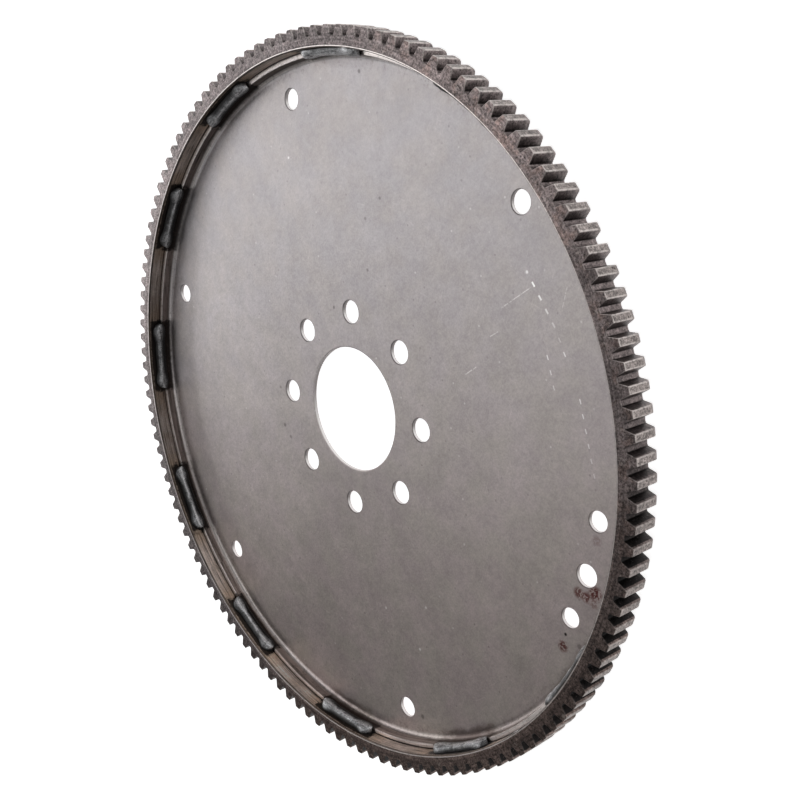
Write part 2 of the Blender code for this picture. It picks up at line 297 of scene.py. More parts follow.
def make_ring_gear(material):
    random = np.random.default_rng(TIP_SEED)
    tips = TIP_RADIUS - TIP_WEAR * random.random(TOOTH_COUNT)
    columns = len(gear_outline(tips, 0.0)[0])
    even_steps = np.arange(columns) / (columns / TOOTH_COUNT) - 0.5
    even_angles = FIRST_TOOTH_ANGLE + TOOTH_PITCH * even_steps
    rows, edges = [], []

    def add_row(points, z, edge):
        rows.append(np.concatenate([points, np.full((columns, 1), z)], 1))
        edges.append(np.broadcast_to(edge, columns))

    def add_circle(radius, z, edge=0.0):
        add_row(radius * np.stack([np.cos(even_angles), np.sin(even_angles)], -1), z, edge)

    def add_outline(tip_drop, inset, z, edge, tooth_edges=1.0):
        points, tip_edge = gear_outline(tips - tip_drop, inset)
        height = np.hypot(points[:, 0], points[:, 1]) - ROOT_RADIUS
        share = 0.25 + 0.75 * np.clip(height / (TIP_RADIUS - ROOT_RADIUS), 0.0, 1.0)
        add_row(points, z, np.maximum(tooth_edges * tip_edge, edge * share))

    add_circle(RING_BORE_RADIUS + RING_BACK_CHAMFER, RING_BACK_Z, 0.6)
    add_circle(ROOT_RADIUS - 2 * MM, RING_BACK_Z)
    add_outline(TOOTH_END_ROUND, TOOTH_END_EASE + 0.4 * MM, RING_BACK_Z, 0.0, 0.0)
    add_outline(TOOTH_END_ROUND, TOOTH_END_EASE, RING_BACK_Z, 0.3, 0.3)
    for degrees in (12, 28, 45, 65, 90):
        turn = math.radians(degrees)
        drop = TOOTH_END_ROUND * (1 - math.sin(turn))
        inset = TOOTH_END_EASE * (1 - math.sin(turn)) ** 1.5
        add_outline(drop, inset, RING_BACK_Z + TOOTH_END_LENGTH * (1 - math.cos(turn)), 0.2, 0.6)
    front_round = 0.2 * MM
    add_outline(0.0, 0.0, RING_BACK_Z + TOOTH_END_LENGTH + 0.8 * MM, 0.0)
    add_outline(0.0, 0.0, (RING_BACK_Z + RING_FRONT_Z) / 2, 0.0)
    add_outline(0.0, 0.0, RING_FRONT_Z - 0.7 * MM, 0.0)
    add_outline(0.0, 0.0, RING_FRONT_Z - front_round, 1.0)
    add_outline(0.0, 0.3 * front_round, RING_FRONT_Z - 0.3 * front_round, 1.0)
    add_outline(0.0, front_round, RING_FRONT_Z, 1.0)
    add_outline(0.0, 1.6 * front_round, RING_FRONT_Z, 0.0, 0.0)
    add_circle(ROOT_RADIUS - 1.2 * MM, RING_FRONT_Z)
    chamfer_top = RING_BORE_RADIUS + RING_FRONT_CHAMFER
    add_circle(chamfer_top + 0.12 * MM, RING_FRONT_Z)
    add_circle(chamfer_top - 0.08 * MM, RING_FRONT_Z - 0.08 * MM)
    add_circle(RING_BORE_RADIUS + 0.1 * MM, RING_FRONT_Z - RING_FRONT_CHAMFER + 0.1 * MM)
    add_circle(RING_BORE_RADIUS, RING_FRONT_Z - RING_FRONT_CHAMFER - 0.12 * MM)
    add_circle(RING_BORE_RADIUS, (RING_BACK_Z + RING_FRONT_Z) / 2)
    add_circle(RING_BORE_RADIUS, RING_BACK_Z + RING_BACK_CHAMFER, 0.6)
    mesh = grid_mesh("ring_gear_finish", np.array(rows), edge=np.array(edges))
    new_piece("ring_gear_finish", mesh, material, "gear_steel", "ring_gear")


def bend_arc(radius):
    """Points of the bend from straight below its middle, outwards and up to the flange."""
    points = []
    for step in range(BEND_STEPS + 1):
        angle = math.pi / 2 * step / BEND_STEPS
        z = BEND_CENTRE_Z - radius * math.cos(angle)
        points.append((BEND_CENTRE_RADIUS + radius * math.sin(angle), z))
    return points


def dish_rises():
    """Radius and rise along the shallow dish, which starts and ends without a visible line."""
    points = []
    for step in range(DISH_STEPS + 1):
        share = step / DISH_STEPS
        radius = DISH_START_RADIUS + share * (DISH_END_RADIUS - DISH_START_RADIUS)
        points.append((radius, DISH_RISE * share ** 2 * (3 - 2 * share)))
    return points


def disc_section():
    """Radius and height round the disc's section: along its front, then back underneath."""
    cut = EDGE_ROUND
    return [
        (BORE_RADIUS, SHEET_THICKNESS - cut),
        (BORE_RADIUS + 0.3 * cut, SHEET_THICKNESS - 0.3 * cut),
        (BORE_RADIUS + cut, SHEET_THICKNESS),
        (BORE_RADIUS + 2 * cut, SHEET_THICKNESS),
        *[(radius, SHEET_THICKNESS + rise) for radius, rise in dish_rises()],
        (BEND_CENTRE_RADIUS - 0.6 * MM, RIM_FRONT_Z),
        *bend_arc(BEND_INSIDE_RADIUS),
        (FLANGE_INNER_RADIUS, BEND_CENTRE_Z + 0.6 * MM),
        (FLANGE_INNER_RADIUS, FLANGE_TOP_Z - 2 * cut),
        (FLANGE_INNER_RADIUS, FLANGE_TOP_Z - cut),
        (FLANGE_INNER_RADIUS + 0.3 * cut, FLANGE_TOP_Z - 0.3 * cut),
        (FLANGE_INNER_RADIUS + cut, FLANGE_TOP_Z),
        (FLANGE_RADIUS - cut, FLANGE_TOP_Z),
        (FLANGE_RADIUS, FLANGE_TOP_Z - cut),
        *bend_arc(BEND_INSIDE_RADIUS + SHEET_THICKNESS)[::-1],
        (BEND_CENTRE_RADIUS - 0.6 * MM, DISH_RISE),
        *dish_rises()[::-1],
        (BORE_RADIUS + 2 * cut, 0.0),
        (BORE_RADIUS + cut, 0.0),
        (BORE_RADIUS, cut),
    ]


def hole_centres():
    """Radius, angle and hole radius of every bolt hole."""
    holes = []
    for index in range(8):
        holes.append((CRANK_CIRCLE_RADIUS, math.radians(45 * index), CRANK_HOLE_RADIUS))
    for index in range(6):
        holes.append((CONVERTER_CIRCLE_RADIUS, math.radians(60 * index), CONVERTER_HOLE_RADIUS))
    for offset in SIDE_HOLE_ANGLES:
        holes.append((CONVERTER_CIRCLE_RADIUS, math.radians(-60) + offset, SIDE_HOLE_RADIUS))
    return holes


def make_hole_cutter():
    """Upright pegs, each flared at the sheet's two faces to ease the edges of its hole."""
    vertices, faces = [], []
    sides = 48
    for circle_radius, angle, hole_radius in hole_centres():
        front = SHEET_THICKNESS if circle_radius < HUB_RADIUS else RIM_FRONT_Z
        back = front - SHEET_THICKNESS
        profile = [(hole_radius + 4 * EDGE_ROUND, back - 3 * EDGE_ROUND)]
        profile += [(hole_radius, back + EDGE_ROUND), (hole_radius, front - EDGE_ROUND)]
        profile += [(hole_radius + 4 * EDGE_ROUND, front + 3 * EDGE_ROUND)]
        centre_x, centre_y = circle_radius * math.cos(angle), circle_radius * math.sin(angle)
        first = len(vertices)
        for radius, z in profile:
            for side in range(sides):
                turn = 2 * math.pi * side / sides
                x = centre_x + radius * math.cos(turn)
                y = centre_y + radius * math.sin(turn)
                vertices.append((x, y, z))
        for row in range(len(profile) - 1):
            for side in range(sides):
                low, high = first + row * sides, first + (row + 1) * sides
                after = (side + 1) % sides
                faces.append((low + side, low + after, high + after, high + side))
        faces.append([first + side for side in reversed(range(sides))])
        faces.append([first + (len(profile) - 1) * sides + side for side in range(sides)])
    mesh = bpy.data.meshes.new("hole_pegs")
    mesh.from_pydata(vertices, [], faces)
    cutter = bpy.data.objects.new("hole_pegs", mesh)
    bpy.context.scene.collection.objects.link(cutter)
    return cutter


def make_disc(material):
    section = disc_section()
    columns = 3 * TOOTH_COUNT
    angles = 2 * math.pi * np.arange(columns) / columns
    points = np.array([
        [(radius * math.cos(angle), radius * math.sin(angle), z) for angle in angles]
        for radius, z in section
    ])
    blank = bpy.data.objects.new("disc_blank", grid_mesh("disc_blank", points[::-1]))
    bpy.context.scene.collection.objects.link(blank)
    cutter = make_hole_cutter()
    cut = blank.modifiers.new("holes", "BOOLEAN")
    cut.operation = "DIFFERENCE"
    cut.solver = "EXACT"
    cut.object = cutter
    depsgraph = bpy.context.evaluated_depsgraph_get()
    mesh = bpy.data.meshes.new_from_object(blank.evaluated_get(depsgraph))
    mesh.name = "disc_finish"
    mesh.materials.clear()
    mesh.shade_smooth()
    mesh.set_sharp_from_angle(angle=math.radians(30))
    bpy.data.objects.remove(blank)
    bpy.data.objects.remove(cutter)
    new_piece("disc_finish", mesh, material, "sheet_steel", "disc")


def weld_swell(along):
    """A bead's size and how bulbous it is, from -1 to 1 along its length."""
    share = (abs(along) - WELD_SWELL_FROM) / (WELD_SWELL_AT - WELD_SWELL_FROM)
    share = min(1.0, max(0.0, share))
    bulb = share * share * (3 - 2 * share)
    size = WELD_WAIST + (1 - WELD_WAIST) * bulb
    return size * math.sqrt(max(0.0, 1 - abs(along) ** WELD_END_POWER)), bulb


def make_weld(number, ridge_tone_and_light, fullness, breadth, material):
    """One bead, rippled, from the ring's bore over the flange's edge and down inside it."""
    middle = WELD_SPACING * (number - 0.5)
    stations, crown_points = 84, 22
    rows, crowns = [], []
    shift = 17.0 * number
    for station in range(stations):
        turn = math.pi / 2 * (2 * station / (stations - 1) - 1)
        along = 0.995 * math.sin(turn)
        size, bulb = weld_swell(along)
        arc_length = along * WELD_LENGTH / 2
        straight = middle + WELD_HALF_ANGLE * along
        row, crown_row = [], []
        overhang = WELD_OVERHANG * size * fullness
        ridge_width = breadth * (0.13 + 0.12 * bulb)
        reach = WELD_SEAT_RADIUS - WELD_LAP_RADIUS + overhang
        for point in range(crown_points):
            share = point / (crown_points - 1)
            degrees = (90 + WELD_LAP_TURN) * share
            angle = math.radians(min(90.0, degrees))
            radius = WELD_SEAT_RADIUS - reach * math.sin(angle)
            z = WELD_SEAT_Z + WELD_RISE * size * math.cos(angle)
            if degrees > 90:
                down = (degrees - 90) / WELD_LAP_TURN
                radius += overhang * (1 - math.sqrt(max(0.0, 1 - down ** 2)))
                z -= WELD_LAP * size * down
            bow = math.sin(math.pi * share)
            unevenness = noise.noise((shift, arc_length * 300, 0))
            ripple_place = arc_length / RIPPLE_PITCH + 0.9 * bow + 0.35 * unevenness
            ripple = abs(math.sin(math.pi * ripple_place)) - 0.6
            lump = noise.noise((shift + arc_length * 210, 300 * radius, 300 * z))
            grain = noise.noise((shift + arc_length * 900, 1100 * radius, 1100 * z))
            push = bow * size * MM * (0.15 * ripple + 0.38 * lump + 0.14 * grain)
            radius -= push * math.sin(angle)
            z += push * math.cos(angle)
            wander = straight + 0.0012 * noise.noise((shift, 500 * z, 3.0)) * bow
            row.append((radius * math.cos(wander), radius * math.sin(wander), z))
            crown_row.append(math.exp(-((share - 0.46) / ridge_width) ** 2) * min(1.0, 4 * size))
        for radius in (WELD_LAP_RADIUS, WELD_SEAT_RADIUS):
            row.append((radius * math.cos(straight), radius * math.sin(straight), WELD_SEAT_Z))
            crown_row.append(0.0)
        rows.append(row)
        crowns.append(crown_row)
    points = np.array(rows).transpose(1, 0, 2)
    name = f"weld_finish_{number:02d}"
    mesh = grid_mesh(name, points, math.radians(60), np.array(crowns).T, wrap_columns=False)
    brightness = mesh.attributes.new("ridge_tone_and_light", "FLOAT", "POINT")
    brightness.data.foreach_set("value", np.full(len(mesh.vertices), ridge_tone_and_light, np.float32))
    new_piece(name, mesh, material, "weld_metal", f"weld_{number:02d}")


# Materials

class Graph:
    """A material's nodes, with short calls for the ones that are used most."""

    def __init__(self, name):
        self.material = bpy.data.materials.new(name)
        self.material.use_nodes = True
        self.nodes = self.material.node_tree.nodes
        self.links = self.material.node_tree.links
        self.shader = self.nodes["Principled BSDF"]
        self.place = self.nodes.new("ShaderNodeTexCoord").outputs["Object"]
        self.x, self.y, self.z = self.split(self.place)

    def put(self, socket, value):
        if isinstance(value, bpy.types.NodeSocket):
            self.links.new(value, socket)
        elif value is not None:
            socket.default_value = value

    def math(self, operation, a, b=None, c=None, clamp=False):
        node = self.nodes.new("ShaderNodeMath")
        node.operation = operation
        node.use_clamp = clamp
        for socket, value in zip(node.inputs, (a, b, c)):
            self.put(socket, value)
        return node.outputs[0]

    def add(self, a, b):
        return self.math("ADD", a, b)

    def multiply(self, product, *factors):
        for factor in factors:
            product = self.math("MULTIPLY", product, factor)
        return product

    def most(self, a, b):
        return self.math("MAXIMUM", a, b)

    def step(self, value, low, high):
        """0 at low, 1 at high and smooth between, also where low is the larger."""
        node = self.nodes.new("ShaderNodeMapRange")
        node.interpolation_type = "SMOOTHSTEP"
        flip = low > high
        self.put(node.inputs["Value"], value)
        node.inputs["From Min"].default_value = min(low, high)
        node.inputs["From Max"].default_value = max(low, high)
        node.inputs["To Min"].default_value = 1.0 if flip else 0.0
        node.inputs["To Max"].default_value = 0.0 if flip else 1.0
        return node.outputs["Result"]

    def noise(self, size, detail, roughness, place=None):
        """Cloudy noise from about 0.25 to 0.75, with blots of about the given size in metres."""
        node = self.nodes.new("ShaderNodeTexNoise")
        self.put(node.inputs["Vector"], place or self.place)
        node.inputs["Scale"].default_value = 1 / size
        node.inputs["Detail"].default_value = detail
        node.inputs["Roughness"].default_value = roughness
        return node.outputs["Fac"]

    def ramp(self, mask, at_none, at_full):
        """A factor that goes from one value where a mask is 0 to another where it is 1."""
        return self.math("MULTIPLY_ADD", mask, at_full - at_none, at_none)

    def mix(self, factor, first, second):
        node = self.nodes.new("ShaderNodeMix")
        node.data_type = "RGBA"
        self.put(node.inputs[0], factor)
        for socket, value in ((node.inputs[6], first), (node.inputs[7], second)):
            self.put(socket, (*value, 1.0) if isinstance(value, tuple) else value)
        return node.outputs[2]

    def tint(self, colour, factor):
        """A colour made darker or lighter by a factor."""
        node = self.nodes.new("ShaderNodeVectorMath")
        node.operation = "SCALE"
        self.put(node.inputs[0], colour)
        self.put(node.inputs["Scale"], factor)
        return node.outputs[0]

    def shade(self, colour, mask, share):
        """A colour made lighter by a share where a mask is 1, or darker by a negative share."""
        return self.tint(colour, self.math("MULTIPLY_ADD", mask, share, 1.0))

    def vary(self, colour, pattern, amount):
        """A colour made uneven by noise, from about 1 - amount to 1 + amount of itself."""
        factor = self.math("MULTIPLY_ADD", pattern, 4 * amount, 1 - 2 * amount)
        return self.tint(colour, factor)

    def split(self, vector):
        node = self.nodes.new("ShaderNodeSeparateXYZ")
        self.put(node.inputs[0], vector)
        return node.outputs

    def join(self, x, y, z):
        node = self.nodes.new("ShaderNodeCombineXYZ")
        for socket, value in zip(node.inputs, (x, y, z)):
            self.put(socket, value)
        return node.outputs[0]

    def slanted(self, degrees, stretch):
        """Coordinates stretched along one direction of the sheet, for scratches."""
        node = self.nodes.new("ShaderNodeMapping")
        node.vector_type = "TEXTURE"
        self.put(node.inputs["Vector"], self.place)
        node.inputs["Rotation"].default_value[2] = math.radians(degrees)
        node.inputs["Scale"].default_value[0] = stretch
        return node.outputs[0]

    def specks(self, size, share, radius):
        """Small round specks on the sheet, one to a cell, in a share of cells of a size."""
        node = self.nodes.new("ShaderNodeTexVoronoi")
        node.voronoi_dimensions = "2D"
        self.put(node.inputs["Vector"], self.place)
        node.inputs["Scale"].default_value = 1 / size
        chosen = self.step(self.split(node.outputs["Color"])[0], share + 0.01, share)
        spot = self.step(node.outputs["Distance"], radius / size, 0.5 * radius / size)
        return self.multiply(chosen, spot)

    def measure(self, start, along):
        """How far a place lies from a start, along a direction and square to it."""
        offset_x = self.add(self.x, -start.x)
        offset_y = self.add(self.y, -start.y)
        run = self.add(self.multiply(offset_x, along.x), self.multiply(offset_y, along.y))
        side = self.add(self.multiply(offset_x, -along.y), self.multiply(offset_y, along.x))
        return run, side

    def line(self, start, end, width):
        """A straight mark on the sheet from start to end, both in millimetres."""
        start, end = Vector(start) * MM, Vector(end) * MM
        run, side = self.measure((start + end) / 2, (end - start).normalized())
        half = (end - start).length / 2
        ends = self.step(self.math("ABSOLUTE", run), half, 0.8 * half)
        return self.multiply(ends, self.step(self.math("ABSOLUTE", side), width, 0.3 * width))

    def dashes(self, start, end, count, lean, length, width, strength, fade):
        """A row of short marks between two places in millimetres, each fainter than the last."""
        start, end = Vector(start) * MM, Vector(end) * MM
        pace = (end - start).length / (count - 1)
        run, side = self.measure(start, (end - start).normalized())
        number = self.math("ROUND", self.math("DIVIDE", run, pace))
        number = self.math("MINIMUM", self.most(number, 0.0), count - 1.0)
        run = self.add(run, self.multiply(number, -pace))
        turn = math.radians(lean)
        long_way = self.add(self.multiply(run, math.cos(turn)), self.multiply(side, math.sin(turn)))
        short_way = self.add(self.multiply(run, -math.sin(turn)), self.multiply(side, math.cos(turn)))
        ends = self.step(self.math("ABSOLUTE", long_way), length / 2, 0.35 * length)
        mark = self.multiply(ends, self.step(self.math("ABSOLUTE", short_way), width / 2, 0.2 * width))
        return self.multiply(mark, self.math("MULTIPLY_ADD", number, -fade, strength))

    def spot(self, place, radius):
        """A round soft area of the sheet, with its place in millimetres."""
        offset_x, offset_y = self.add(self.x, -place[0] * MM), self.add(self.y, -place[1] * MM)
        square = self.add(self.multiply(offset_x, offset_x), self.multiply(offset_y, offset_y))
        return self.step(self.math("SQRT", square), radius, 0.35 * radius)

    def attribute(self, name):
        node = self.nodes.new("ShaderNodeAttribute")
        node.attribute_name = name
        return node.outputs["Fac"]

    def facing(self):
        """How far the surface faces along x, along y and up, each from -1 to 1."""
        return self.split(self.nodes.new("ShaderNodeNewGeometry").outputs["True Normal"])

    def radius(self):
        square = self.add(self.multiply(self.x, self.x), self.multiply(self.y, self.y))
        return self.math("SQRT", square)

    def angle(self):
        return self.math("ARCTAN2", self.y, self.x)

    def by_side(self, degrees, start, full):
        """0 to 1 toward a direction from the axis, between two cosines of the angle to it."""
        turn = math.radians(degrees)
        run = self.add(self.multiply(self.x, math.cos(turn)), self.multiply(self.y, math.sin(turn)))
        return self.step(self.math("DIVIDE", run, self.radius()), start, full)

    def round_place(self, across, along):
        """Coordinates that run out from the axis, round it and up, in metres at the rim."""
        return self.join(
            self.multiply(self.radius(), across),
            self.multiply(self.angle(), PITCH_RADIUS * along),
            self.z,
        )

    def weld_heat(self, reach, fade, ragged):
        """1 along each weld and as far as the reach past its ends, 0 a fade further on."""
        turns = self.math("DIVIDE", self.angle(), WELD_SPACING)
        offset = self.math("SUBTRACT", self.math("FRACT", turns), 0.5)
        along = self.multiply(self.math("ABSOLUTE", offset), WELD_SPACING * RING_BORE_RADIUS)
        along = self.math("MULTIPLY_ADD", self.noise(3 * MM, 3.0, 0.6), 4 * ragged, along)
        along = self.add(along, -2 * ragged)
        return self.step(along, WELD_LENGTH / 2 + reach + fade, WELD_LENGTH / 2 + reach)

    def between(self, value, low, high, fade):
        """1 between low and high, 0 a fade outside them."""
        return self.multiply(self.step(value, low - fade, low), self.step(value, high + fade, high))

    def finish(self, colour, roughness, metallic, height, strength):
        bump = self.nodes.new("ShaderNodeBump")
        bump.inputs["Strength"].default_value = strength
        bump.inputs["Distance"].default_value = BUMP_DEPTH
        self.put(bump.inputs["Height"], height)
        self.put(self.shader.inputs["Base Color"], colour)
        self.put(self.shader.inputs["Roughness"], roughness)
        self.put(self.shader.inputs["Metallic"], metallic)
        self.put(self.shader.inputs["Normal"], bump.outputs["Normal"])
        return self.material


def sheet_colour_and_painted_light(g, radius, fine, grain, mottle):
    """The rolled sheet's own colour, browner toward -Y, with faint clouds and grain, plus painted
    light and shade by side.
    """
    cloud = g.noise(34 * MM, 3.0, 0.55)
    hue = g.noise(20 * MM, 3.0, 0.6)
    browner = g.step(g.add(g.multiply(g.x, -0.5), g.multiply(g.y, -0.87)), -0.12, 0.14)
    colour = g.mix(g.step(hue, 0.32, 0.68), (0.419, 0.395, 0.406), (0.429, 0.397, 0.394))
    lower_colour = g.mix(g.step(hue, 0.34, 0.66), (0.468, 0.392, 0.376), (0.450, 0.398, 0.362))
    colour = g.mix(g.multiply(browner, 0.8), colour, lower_colour)
    for pattern, amount in ((fine, 0.10), (grain, 0.10), (mottle, 0.09), (cloud, 0.06)):
        colour = g.vary(colour, pattern, amount)
    # Painted light toward 155° and painted shade toward 30°, more of both further from the bore
    outward = g.step(radius, 0.0, 150 * MM)
    colour = g.shade(colour, g.multiply(g.by_side(155, 0.5, 0.97), outward), 0.17)
    return g.shade(colour, g.multiply(g.by_side(30, 0.3, 0.9), outward), -0.07)


def mill_scratches(g):
    """Fine scratches along the sheet, across it and round it."""
    along = g.step(g.noise(0.5 * MM, 1.0, 0.5, g.slanted(28, 40)), 0.69, 0.78)
    across = g.step(g.noise(0.5 * MM, 1.0, 0.5, g.slanted(-62, 28)), 0.70, 0.79)
    turned = g.step(g.noise(0.6 * MM, 1.0, 0.5, g.round_place(1.0, 0.03)), 0.69, 0.79)
    return g.most(along, g.most(across, turned))


def sheet_marks(g, colour, fine, mottle):
    """Light and dark spots, rows of dashes, long scratches and rust."""
    light_specks = g.multiply(g.specks(17 * MM, 0.35, 0.7 * MM), g.step(mottle, 0.62, 0.42))
    light = g.multiply(light_specks, 0.3)
    for place, size, strength in LIGHT_SPOTS:
        light = g.most(light, g.multiply(g.spot(place, size * MM), strength))
    for row in DASH_ROWS:
        light = g.most(light, g.dashes(*row))
    broken = g.step(fine, 0.38, 0.5)
    for first, last, strength in SCRATCHES:
        light = g.most(light, g.multiply(g.line(first, last, 0.35 * MM), broken, strength))
    colour = g.mix(light, colour, (0.95, 0.94, 0.93))
    for place, size, strength in DARK_SPOTS:
        colour = g.mix(g.multiply(g.spot(place, size * MM), strength), colour, (0.05, 0.04, 0.04))
    rust_grain = g.step(g.noise(1.6 * MM, 2.0, 0.7), 0.42, 0.50)
    for place, size, strength in RUST_SPOTS:
        stain = g.multiply(g.spot(place, size * MM), strength)
        colour = g.mix(g.multiply(stain, 0.3), colour, (0.30, 0.16, 0.12))
        colour = g.mix(g.multiply(stain, rust_grain), colour, (0.125, 0.045, 0.042))
    return colour


def hole_edges(g, colour, radius):
    """The holes' cut walls in painted light on one side and painted shade on the other, and painted
    shade on their eased edges.
    """
    facing_x, facing_y, facing_up = g.facing()
    inside_rim = g.step(radius, BEND_CENTRE_RADIUS - 3.8 * MM, BEND_CENTRE_RADIUS - 5.8 * MM)
    # Painted light and shade on the cut walls: lighter where they face about 25°, darker facing away
    lit_facing = g.add(g.multiply(facing_x, 0.9), g.multiply(facing_y, 0.43))
    cut_wall = g.multiply(g.step(g.math("ABSOLUTE", facing_up), 0.4, 0.2), inside_rim)
    cut_wall_light_and_shade = g.mix(g.step(lit_facing, 0.1, 0.85), (0.20, 0.185, 0.18), (0.74, 0.72, 0.71))
    colour = g.mix(g.multiply(cut_wall, 0.9), colour, cut_wall_light_and_shade)
    # Painted shade on the eased front edges
    shaded_edge = g.multiply(g.between(facing_up, 0.55, 0.85, 0.1), inside_rim)
    return g.mix(g.multiply(shaded_edge, 0.35), colour, (0.12, 0.106, 0.102))


def weld_smoke(g):
    """How much smoke the rim took beside each weld."""
    smoked = 0.1
    for degrees, strength in SMOKED_WELDS:
        turn = math.radians(degrees)
        place = (SMOKE_RADIUS * math.cos(turn), SMOKE_RADIUS * math.sin(turn))
        smoked = g.most(g.multiply(g.spot(place, SMOKE_REACH), strength), smoked)
    return g.multiply(smoked, g.weld_heat(-4 * MM, 9 * MM, 3 * MM))


def flange_colour_and_painted_light(g, colour, radius, drawn, smoked):
    """A painted highlight on the bend, a dark wall and a bright cut edge, with painted light and shade
    by side. Also tells where the wall is.
    """
    inside = g.step(radius, FLANGE_INNER_RADIUS - 0.6 * MM, FLANGE_INNER_RADIUS - 0.2 * MM)
    wall = g.multiply(inside, g.step(g.z, BEND_CENTRE_Z - 1.8 * MM, BEND_CENTRE_Z - 0.9 * MM))
    wall_colour = g.vary((0.24, 0.20, 0.185), drawn, 0.6)
    # Painted light on the wall toward 212° and 275°
    wall_colour = g.shade(wall_colour, g.by_side(212, 0.75, 0.97), 0.9)
    wall_colour = g.shade(wall_colour, g.by_side(275, 0.9, 0.98), 0.8)
    colour = g.mix(wall, colour, wall_colour)

    # Painted shade low in the bend toward 272°
    low_bend_shade = g.step(radius, BEND_CENTRE_RADIUS - 1.3 * MM, BEND_CENTRE_RADIUS + 0.2 * MM)
    low_bend_shade = g.multiply(low_bend_shade, g.step(g.z, BEND_CENTRE_Z, BEND_CENTRE_Z - 1 * MM))
    colour = g.shade(colour, g.multiply(g.by_side(272, 0.93, 0.985), low_bend_shade), -0.3)

    # A painted highlight along the bend, fainter toward 138° and 245° and where smoke lies
    bend = g.multiply(
        g.between(radius, BEND_CENTRE_RADIUS + 1.7 * MM, BEND_CENTRE_RADIUS + 2.3 * MM, 0.45 * MM),
        g.step(g.z, BEND_CENTRE_Z + 0.3 * MM, BEND_CENTRE_Z - 1.2 * MM),
        g.ramp(g.by_side(138, 0.75, 0.97), 0.9, 0.4),
        g.ramp(g.by_side(245, 0.6, 0.9), 1.0, 0.1),
        g.math("MULTIPLY_ADD", smoked, -1.2, 1.0, clamp=True),
    )
    # The bright cut edge, dimmed toward 228° by painted shade
    lip = g.multiply(
        inside,
        g.step(g.z, FLANGE_TOP_Z - 0.7 * MM, FLANGE_TOP_Z - 0.25 * MM),
        g.ramp(g.by_side(228, 0.6, 0.93), 0.88, 0.3),
    )
    cut_edge_and_highlight_colour = g.vary((0.84, 0.78, 0.755), drawn, 0.2)
    return g.mix(g.most(bend, lip), colour, cut_edge_and_highlight_colour), wall


def rim_soot(g, colour, radius, grain, smoked):
    """Black soot beside the welds, brown smoke on the rim's flat and blotchy darkening by the bend."""
    near_bend = g.step(radius, BEND_CENTRE_RADIUS + 0.5 * MM, BEND_CENTRE_RADIUS + 2.0 * MM)
    soot = g.multiply(g.weld_heat(0.5 * MM, 2.5 * MM, 2.0 * MM), near_bend)
    reach_down = g.multiply(g.by_side(95, 0.5, 0.85), 1.6 * MM)
    soot_height = g.add(g.add(g.z, reach_down), g.multiply(grain, 1.5 * MM))
    soot = g.multiply(soot, g.step(soot_height, BEND_CENTRE_Z - 1.5 * MM, BEND_CENTRE_Z + 1.0 * MM))
    colour = g.mix(g.multiply(soot, 0.93), colour, SOOT_COLOUR)

    by_bend = g.step(radius, BEND_CENTRE_RADIUS - 6.3 * MM, BEND_CENTRE_RADIUS + 0.2 * MM)
    smear = g.noise(5 * MM, 3.0, 0.6, g.round_place(1.0, 0.4))
    blotches = g.step(g.math("MULTIPLY_ADD", by_bend, 0.25, smear), 0.48, 0.85)
    colour = g.mix(g.multiply(smoked, by_bend, blotches), colour, (0.085, 0.056, 0.046))

    # Blotchy darkening on the rim's flat next to the bend
    rim_darkening = g.step(radius, BEND_CENTRE_RADIUS - 6.8 * MM, BEND_CENTRE_RADIUS + 0.2 * MM)
    rim_darkening = g.multiply(rim_darkening, g.step(g.noise(2.2 * MM, 4.0, 0.7), 0.52, 0.66))
    return g.mix(g.multiply(rim_darkening, 0.35), colour, (0.10, 0.075, 0.06))


def sheet_steel():
    """Bare rolled steel with a fine mill grain, scratches, stains, soot from welding, and painted
    light and shade.
    """
    g = Graph("sheet_steel_finish")
    radius = g.radius()
    fine = g.noise(1.0 * MM, 2.0, 0.7)
    grain = g.noise(2.4 * MM, 3.0, 0.65)
    mottle = g.noise(8 * MM, 3.0, 0.6)
    drawn = g.noise(1.1 * MM, 2.0, 0.6, g.round_place(1.0, 0.05))
    scratches = mill_scratches(g)
    dark_specks = g.multiply(g.specks(11 * MM, 0.45, 0.75 * MM), g.step(mottle, 0.40, 0.60))
    smoked = weld_smoke(g)

    colour = sheet_colour_and_painted_light(g, radius, fine, grain, mottle)
    colour = g.shade(colour, scratches, 0.12)
    colour = g.shade(colour, dark_specks, -0.25)
    colour = sheet_marks(g, colour, fine, mottle)
    colour = hole_edges(g, colour, radius)
    colour, wall = flange_colour_and_painted_light(g, colour, radius, drawn, smoked)
    colour = rim_soot(g, colour, radius, grain, smoked)

    roughness = g.math("MULTIPLY_ADD", grain, 0.10, 0.36)
    roughness = g.math("MULTIPLY_ADD", mottle, 0.06, roughness)
    height = g.add(g.multiply(fine, 0.5), g.multiply(grain, 1.1))
    height = g.math("MULTIPLY_ADD", scratches, -0.25, height)
    height = g.math("MULTIPLY_ADD", dark_specks, -0.6, height)
    height = g.math("MULTIPLY_ADD", g.multiply(drawn, wall), 1.5, height)
    return g.finish(colour, roughness, 0.92, height, 0.3)


